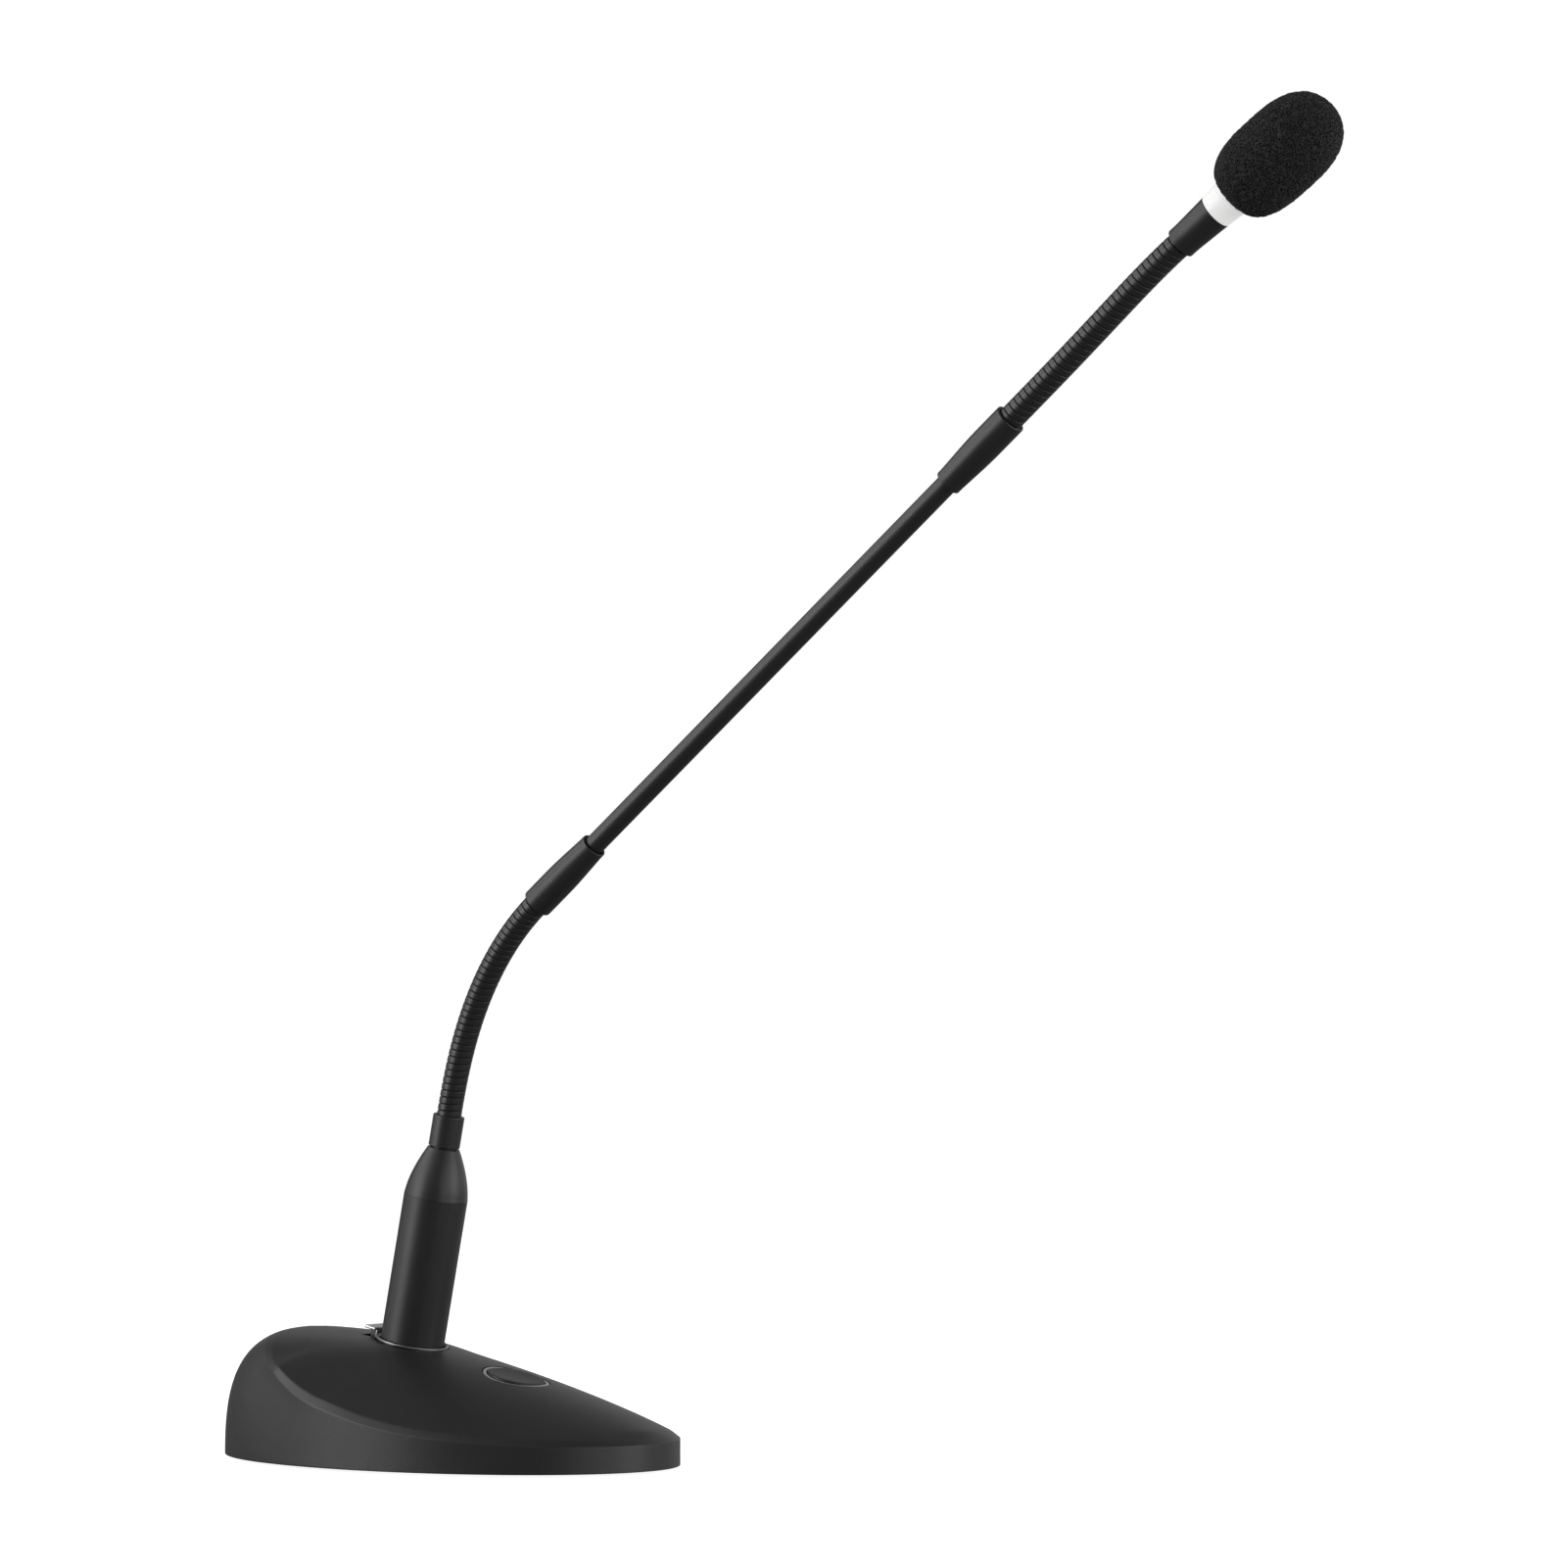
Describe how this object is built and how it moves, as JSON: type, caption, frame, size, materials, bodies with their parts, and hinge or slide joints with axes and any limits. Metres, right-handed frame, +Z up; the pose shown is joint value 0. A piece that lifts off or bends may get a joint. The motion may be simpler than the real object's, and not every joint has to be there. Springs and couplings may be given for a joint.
{
  "type": "gooseneck podium microphone",
  "caption": "Desk microphone: an oval weighted base with a mute button, a plug-in stem with two flexible necks, a light ring and a foam windscreen.",
  "frame": {"origin": "middle of the underside of the rubber foot pad, on the surface that the base rests on", "axes": "+Z up, the front of the base and the microphone towards -Y, and X = 0 is the plane of symmetry"},
  "size_m": [0.0982, 0.3761, 0.3768],
  "materials": {
    "satin_black": "satin",
    "barrel_black": "satin",
    "neck_black": "satin",
    "plastic_black": "satin",
    "rubber": "matte",
    "steel": "satin",
    "chrome": "polished",
    "ballast": "matte",
    "gold": "polished",
    "board": "satin",
    "milky": "satin",
    "foam": "matte",
    "aluminium_capsule": "satin"
  },
  "bodies": {
    "base": {"ballast_weight": "ballast", "base_shell": "satin_black", "bottom_plate": "steel", "button_bezel": "barrel_black", "button_switch": "plastic_black", "foot_pad": "rubber", "latch_spring": "steel", "main_board": "board", "output_insert": "plastic_black", "output_nut": "steel", "output_pin_1": "gold", "output_pin_2": "gold", "output_pin_3": "gold", "output_shell": "barrel_black", "plate_screw_1": "steel", "plate_screw_2": "steel", "plate_screw_3": "steel", "plate_screw_4": "steel", "socket_contact_1": "gold", "socket_contact_2": "gold", "socket_contact_3": "gold", "socket_insert": "plastic_black", "socket_shell": "barrel_black"},
    "mute_cap": {"mute_button": "plastic_black"},
    "release_tab": {"latch_tab": "chrome"},
    "stem": {"barrel_tube": "barrel_black", "barrel_nose": "barrel_black", "plug_insert": "plastic_black", "plug_pin_1": "gold", "plug_pin_2": "gold", "plug_pin_3": "gold", "preamp_board": "board", "stem_collar": "barrel_black"},
    "lower_link_1": {"lower_neck_1": "neck_black"},
    "lower_link_2": {"lower_neck_2": "neck_black"},
    "lower_link_3": {"lower_neck_3": "neck_black"},
    "lower_link_4": {"lower_neck_4": "neck_black"},
    "lower_link_5": {"lower_neck_5": "neck_black"},
    "lower_link_6": {"lower_neck_6": "neck_black"},
    "lower_link_7": {"lower_neck_7": "neck_black"},
    "mid_section": {"lower_coupler": "neck_black", "mid_tube": "neck_black", "upper_coupler": "neck_black"},
    "upper_link_1": {"upper_neck_1": "neck_black"},
    "upper_link_2": {"upper_neck_2": "neck_black"},
    "upper_link_3": {"upper_neck_3": "neck_black"},
    "upper_link_4": {"upper_neck_4": "neck_black"},
    "upper_link_5": {"upper_neck_5": "neck_black"},
    "upper_link_6": {"upper_neck_6": "neck_black"},
    "upper_link_7": {"upper_neck_7": "neck_black"},
    "head": {"head_ferrule": "neck_black", "light_ring": "milky", "ring_light_board": "board", "capsule_housing": "barrel_black", "capsule_grille": "barrel_black", "mic_capsule": "aluminium_capsule"},
    "windscreen": {"foam_windscreen": "foam"}
  },
  "joints": [
    {"name": "mute_press", "type": "slide", "parent": "base", "child": "mute_cap", "axis": [0, 0.2491, -0.9685], "range_m": [0, 0.0012], "stiffness_N_per_m": 250, "springref_m": -0.002},
    {"name": "latch_press", "type": "slide", "parent": "base", "child": "release_tab", "axis": [0, 0.1994, -0.9799], "range_m": [0, 0.0015], "stiffness_N_per_m": 400, "springref_m": -0.002},
    {"name": "stem_unplug", "type": "slide", "parent": "base", "child": "stem", "axis": [0, -0.1994, 0.9799], "range_m": [0, 0.03]},
    {"name": "lower_neck_bend_1", "type": "hinge", "parent": "stem", "child": "lower_link_1", "pos_m": [0, -0.00031, 0.10622], "axis": [1, 0, 0], "range_deg": [-15, 10]},
    {"name": "lower_neck_swing_1", "type": "hinge", "parent": "lower_link_1", "child": "lower_link_2", "pos_m": [0, -0.0024, 0.11495], "axis": [0, 0.9653, 0.2613], "range_deg": [-15, 15]},
    {"name": "lower_neck_bend_2", "type": "hinge", "parent": "lower_link_2", "child": "lower_link_3", "pos_m": [0, -0.005, 0.12355], "axis": [1, 0, 0], "range_deg": [-15, 10]},
    {"name": "lower_neck_swing_2", "type": "hinge", "parent": "lower_link_3", "child": "lower_link_4", "pos_m": [0, -0.00824, 0.13193], "axis": [0, 0.9164, 0.4004], "range_deg": [-15, 15]},
    {"name": "lower_neck_bend_3", "type": "hinge", "parent": "lower_link_4", "child": "lower_link_5", "pos_m": [0, -0.01219, 0.14], "axis": [1, 0, 0], "range_deg": [-15, 10]},
    {"name": "lower_neck_swing_3", "type": "hinge", "parent": "lower_link_5", "child": "lower_link_6", "pos_m": [0, -0.0169, 0.14764], "axis": [0, 0.822, 0.5695], "range_deg": [-15, 15]},
    {"name": "lower_neck_bend_4", "type": "hinge", "parent": "lower_link_6", "child": "lower_link_7", "pos_m": [0, -0.0224, 0.15474], "axis": [1, 0, 0], "range_deg": [-15, 10]},
    {"name": "lower_neck_swing_4", "type": "hinge", "parent": "lower_link_7", "child": "mid_section", "pos_m": [0, -0.02868, 0.16116], "axis": [0, 0.6711, 0.7414], "range_deg": [-15, 15]},
    {"name": "upper_neck_bend_1", "type": "hinge", "parent": "mid_section", "child": "upper_link_1", "pos_m": [0, -0.20009, 0.2982], "axis": [1, 0, 0], "range_deg": [-15, 15]},
    {"name": "upper_neck_swing_1", "type": "hinge", "parent": "upper_link_1", "child": "upper_link_2", "pos_m": [0, -0.2069, 0.30366], "axis": [0, 0.6278, 0.7783], "range_deg": [-15, 15]},
    {"name": "upper_neck_bend_2", "type": "hinge", "parent": "upper_link_2", "child": "upper_link_3", "pos_m": [0, -0.21369, 0.30916], "axis": [1, 0, 0], "range_deg": [-15, 15]},
    {"name": "upper_neck_swing_2", "type": "hinge", "parent": "upper_link_3", "child": "upper_link_4", "pos_m": [0, -0.22043, 0.31471], "axis": [0, 0.6378, 0.7702], "range_deg": [-15, 15]},
    {"name": "upper_neck_bend_3", "type": "hinge", "parent": "upper_link_4", "child": "upper_link_5", "pos_m": [0, -0.22714, 0.3203], "axis": [1, 0, 0], "range_deg": [-15, 15]},
    {"name": "upper_neck_swing_3", "type": "hinge", "parent": "upper_link_5", "child": "upper_link_6", "pos_m": [0, -0.23383, 0.3259], "axis": [0, 0.6381, 0.77], "range_deg": [-15, 15]},
    {"name": "upper_neck_bend_4", "type": "hinge", "parent": "upper_link_6", "child": "upper_link_7", "pos_m": [0, -0.24058, 0.33144], "axis": [1, 0, 0], "range_deg": [-15, 15]},
    {"name": "upper_neck_swing_4", "type": "hinge", "parent": "upper_link_7", "child": "head", "pos_m": [0, -0.24749, 0.33679], "axis": [0, 0.5931, 0.8052], "range_deg": [-15, 15]},
    {"name": "windscreen_pull", "type": "slide", "parent": "head", "child": "windscreen", "axis": [0, -0.8192, 0.5736], "range_m": [0, 0.045]}
  ],
  "couplings": [
    {"joint": "lower_neck_bend_2", "follows": "lower_neck_bend_1", "ratio": 1},
    {"joint": "lower_neck_swing_2", "follows": "lower_neck_swing_1", "ratio": 1},
    {"joint": "lower_neck_bend_3", "follows": "lower_neck_bend_1", "ratio": 1},
    {"joint": "lower_neck_swing_3", "follows": "lower_neck_swing_1", "ratio": 1},
    {"joint": "lower_neck_bend_4", "follows": "lower_neck_bend_1", "ratio": 1},
    {"joint": "lower_neck_swing_4", "follows": "lower_neck_swing_1", "ratio": 1},
    {"joint": "upper_neck_bend_2", "follows": "upper_neck_bend_1", "ratio": 1},
    {"joint": "upper_neck_swing_2", "follows": "upper_neck_swing_1", "ratio": 1},
    {"joint": "upper_neck_bend_3", "follows": "upper_neck_bend_1", "ratio": 1},
    {"joint": "upper_neck_swing_3", "follows": "upper_neck_swing_1", "ratio": 1},
    {"joint": "upper_neck_bend_4", "follows": "upper_neck_bend_1", "ratio": 1},
    {"joint": "upper_neck_swing_4", "follows": "upper_neck_swing_1", "ratio": 1}
  ]
}
